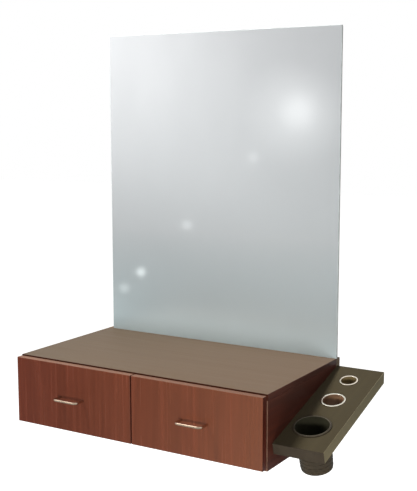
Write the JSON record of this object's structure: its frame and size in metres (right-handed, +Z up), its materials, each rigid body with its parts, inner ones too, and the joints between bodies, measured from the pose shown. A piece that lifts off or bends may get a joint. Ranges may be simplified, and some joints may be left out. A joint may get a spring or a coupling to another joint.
{
  "type": "wall-mounted styling station",
  "caption": "Wall-hung drawer cabinet under a frameless mirror, with a sloping side board that holds a dryer cup and iron sleeves.",
  "frame": {"origin": "on the wall plane, at the centre of the four wall screws", "axes": "+X to the right seen from the front, +Y into the wall, +Z up"},
  "size_m": [0.917, 0.485, 1.127],
  "materials": {
    "front_laminate": "mahogany laminate with an upright grain, satin",
    "top_laminate": "warm brown-grey laminate, satin sheen",
    "side_laminate": "dark mahogany laminate, satin",
    "dark_board": "dark laminate, matt",
    "tool_laminate": "dark brown laminate, satin",
    "drawer_melamine": "almond melamine, satin",
    "beech": "plain beech",
    "runner_epoxy": "cream epoxy coat",
    "zinc": "zinc plate",
    "nylon": "white nylon",
    "cup_plastic": "black moulded plastic",
    "chrome": "polished chrome plate",
    "mirror": "silvered glass with polished edges",
    "backer": "hardboard",
    "aluminium": "mill finish",
    "rubber": "black rubber",
    "bumper": "clear soft plastic"
  },
  "bodies": {
    "cabinet": {"wall_board": "dark_board", "top_panel": "top_laminate", "bottom_panel": "side_laminate", "left_side_panel": "side_laminate", "right_side_panel": "side_laminate", "centre_divider": "side_laminate", "carcass_dowels": "beech", "carcass_screws": "zinc", "left_bay_outer_runner": "runner_epoxy", "left_bay_inner_runner": "runner_epoxy", "right_bay_inner_runner": "runner_epoxy", "right_bay_outer_runner": "runner_epoxy", "bay_runner_screws": "zinc", "front_roller_rivets": "zinc", "tool_board": "tool_laminate", "tool_board_screws": "zinc", "dryer_cup": "cup_plastic", "large_iron_sleeve": "chrome", "small_iron_sleeve": "chrome", "mirror_glass": "mirror", "mirror_backer": "backer", "mirror_cleat": "aluminium", "wall_cleat": "aluminium", "mirror_cleat_screws": "zinc", "mirror_spacers": "rubber"},
    "left_drawer": {"left_drawer_front": "front_laminate", "left_drawer_outer_side": "drawer_melamine", "left_drawer_inner_side": "drawer_melamine", "left_drawer_box_front": "drawer_melamine", "left_drawer_back": "drawer_melamine", "left_drawer_floor": "drawer_melamine", "left_drawer_outer_runner": "runner_epoxy", "left_drawer_inner_runner": "runner_epoxy", "left_drawer_runner_screws": "zinc", "left_drawer_rivets": "zinc", "left_drawer_corner_screws": "zinc", "left_drawer_front_screws": "zinc", "left_drawer_bumpers": "bumper", "left_drawer_handle": "chrome", "left_drawer_handle_screws": "zinc"},
    "left_front_rollers": {"left_front_rollers": "nylon"},
    "left_drawer_rollers": {"left_drawer_rollers": "nylon"},
    "right_drawer": {"right_drawer_front": "front_laminate", "right_drawer_outer_side": "drawer_melamine", "right_drawer_inner_side": "drawer_melamine", "right_drawer_box_front": "drawer_melamine", "right_drawer_back": "drawer_melamine", "right_drawer_floor": "drawer_melamine", "right_drawer_outer_runner": "runner_epoxy", "right_drawer_inner_runner": "runner_epoxy", "right_drawer_runner_screws": "zinc", "right_drawer_rivets": "zinc", "right_drawer_corner_screws": "zinc", "right_drawer_front_screws": "zinc", "right_drawer_bumpers": "bumper", "right_drawer_handle": "chrome", "right_drawer_handle_screws": "zinc"},
    "right_front_rollers": {"right_front_rollers": "nylon"},
    "right_drawer_rollers": {"right_drawer_rollers": "nylon"}
  },
  "joints": [
    {"name": "left_drawer_slide", "type": "slide", "parent": "cabinet", "child": "left_drawer", "axis": [0, -1, 0], "range_m": [0, 0.26]},
    {"name": "left_front_rollers_spin", "type": "hinge", "parent": "cabinet", "child": "left_front_rollers", "pos_m": [-0.191, -0.413, -0.0594], "axis": [1, 0, 0], "range_deg": [0, 1655.3]},
    {"name": "left_drawer_rollers_spin", "type": "hinge", "parent": "left_drawer", "child": "left_drawer_rollers", "pos_m": [-0.191, -0.09, -0.0597], "axis": [1, 0, 0], "range_deg": [0, 1655.3]},
    {"name": "right_drawer_slide", "type": "slide", "parent": "cabinet", "child": "right_drawer", "axis": [0, -1, 0], "range_m": [0, 0.26]},
    {"name": "right_front_rollers_spin", "type": "hinge", "parent": "cabinet", "child": "right_front_rollers", "pos_m": [0.191, -0.413, -0.0594], "axis": [1, 0, 0], "range_deg": [0, 1655.3]},
    {"name": "right_drawer_rollers_spin", "type": "hinge", "parent": "right_drawer", "child": "right_drawer_rollers", "pos_m": [0.191, -0.09, -0.0597], "axis": [1, 0, 0], "range_deg": [0, 1655.3]}
  ],
  "couplings": [
    {"joint": "left_front_rollers_spin", "follows": "left_drawer_slide", "rad_per_m": 111.11},
    {"joint": "left_drawer_rollers_spin", "follows": "left_drawer_slide", "rad_per_m": 111.11},
    {"joint": "right_front_rollers_spin", "follows": "right_drawer_slide", "rad_per_m": 111.11},
    {"joint": "right_drawer_rollers_spin", "follows": "right_drawer_slide", "rad_per_m": 111.11}
  ]
}
